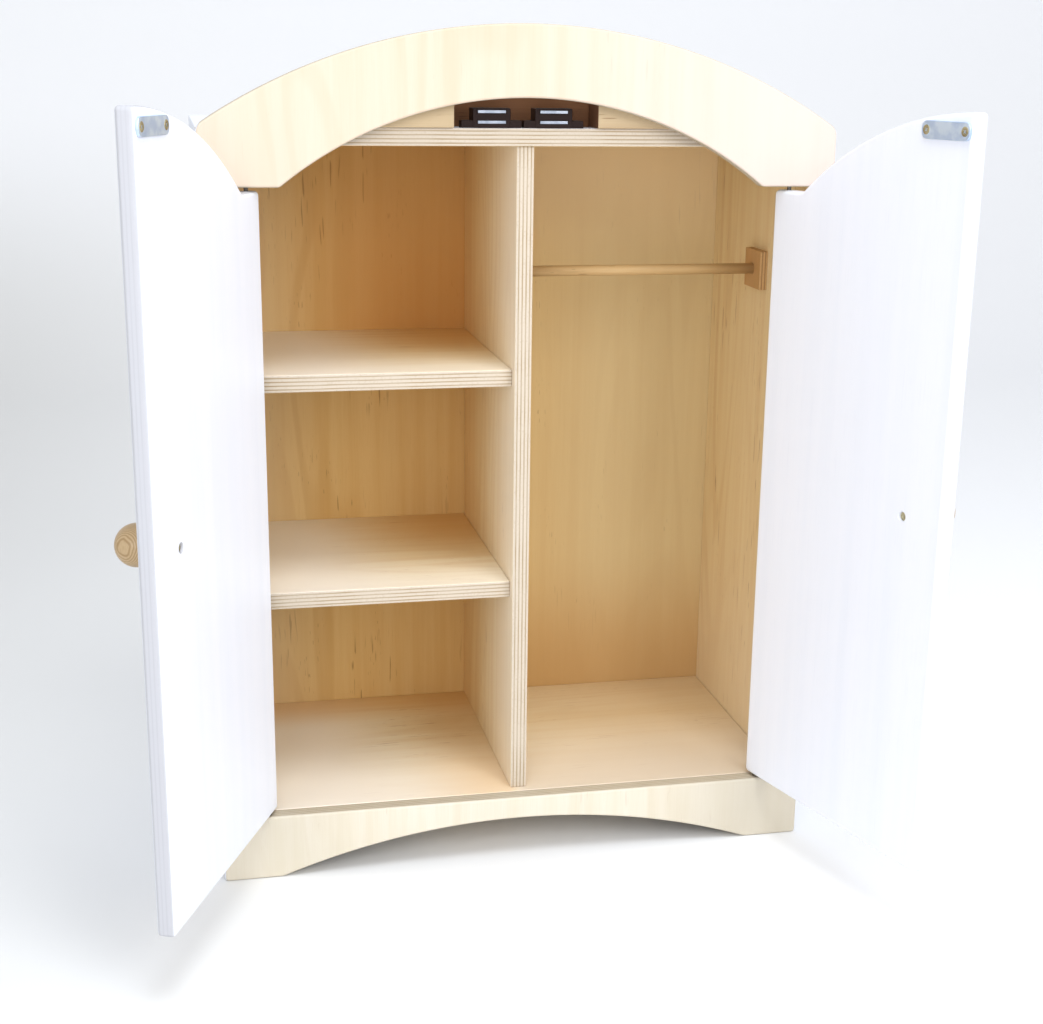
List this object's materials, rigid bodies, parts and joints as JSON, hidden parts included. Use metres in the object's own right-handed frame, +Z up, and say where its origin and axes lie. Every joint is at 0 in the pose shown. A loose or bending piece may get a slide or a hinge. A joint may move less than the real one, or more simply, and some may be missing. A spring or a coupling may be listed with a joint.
{
  "type": "doll's wardrobe",
  "caption": "Free-standing miniature wardrobe with arched crown and plinth, two pin-hung doors, shelves on one side and a hanging rod on the other, and magnetic catches",
  "frame": {"origin": "on the floor, in the middle of the back panel's bottom edge", "axes": "+Z up, -Y is the front the doors open towards, +X is the wardrobe's right as seen from the front"},
  "size_m": [0.5414, 0.3993, 0.5983],
  "materials": {
    "birch_front": "natural birch board, sanded, thin clear oil, eased edges",
    "birch_side": "birch plywood, natural inside, painted white outside",
    "birch_back": "birch plywood, natural inside, painted white outside",
    "birch_top": "birch plywood with bare layered front edge, painted white on top",
    "birch_inside": "birch plywood with bare layered edges",
    "birch_block": "plain sanded pale wood, stained dark brown on the end inside the catch recess",
    "dark_wood": "dark brown wood",
    "rod_wood": "turned dowel with small dark flecks",
    "brown_plastic": "moulded dark brown plastic",
    "pole_steel": "bare steel strips",
    "ferrite": "black ferrite magnet",
    "zinc_plate": "bluish zinc-plated steel",
    "brass_screw": "yellow-plated countersunk screw",
    "pin_steel": "plain steel",
    "white_door": "white glaze over birch plywood, faint grain showing",
    "knob_wood": "turned natural wood with growth rings"
  },
  "bodies": {
    "carcass": {"crown_board": "birch_front", "plinth_board": "birch_front", "left_side_panel": "birch_side", "right_side_panel": "birch_side", "back_panel": "birch_back", "floor_panel": "birch_inside", "top_panel": "birch_top", "divider_panel": "birch_inside", "lower_shelf": "birch_inside", "upper_shelf": "birch_inside", "left_crown_block": "birch_block", "right_crown_block": "birch_block", "catch_recess_backing": "dark_wood", "hanging_rod": "rod_wood", "left_rod_block": "birch_inside", "right_rod_block": "birch_inside", "left_catch_housing": "brown_plastic", "right_catch_housing": "brown_plastic", "left_catch_pole_plates": "pole_steel", "right_catch_pole_plates": "pole_steel", "left_catch_magnet": "ferrite", "right_catch_magnet": "ferrite", "catch_screws": "pin_steel", "upper_pivot_pins": "pin_steel", "lower_pivot_pins": "pin_steel", "lower_pivot_washers": "pin_steel", "back_panel_screws": "pin_steel"},
    "left_door": {"left_door_panel": "white_door", "left_knob": "knob_wood", "left_knob_screw": "brass_screw", "left_strike_plate": "zinc_plate", "left_strike_screws": "brass_screw"},
    "right_door": {"right_door_panel": "white_door", "right_knob": "knob_wood", "right_knob_screw": "brass_screw", "right_strike_plate": "zinc_plate", "right_strike_screws": "brass_screw"}
  },
  "joints": [
    {"name": "left_door_hinge", "type": "hinge", "parent": "carcass", "child": "left_door", "pos_m": [-0.187, -0.2189, 0.27], "axis": [0, 0, -1], "range_deg": [-113, 22]},
    {"name": "right_door_hinge", "type": "hinge", "parent": "carcass", "child": "right_door", "pos_m": [0.187, -0.2189, 0.27], "axis": [0, 0, 1], "range_deg": [-106.5, 28.5]}
  ]
}
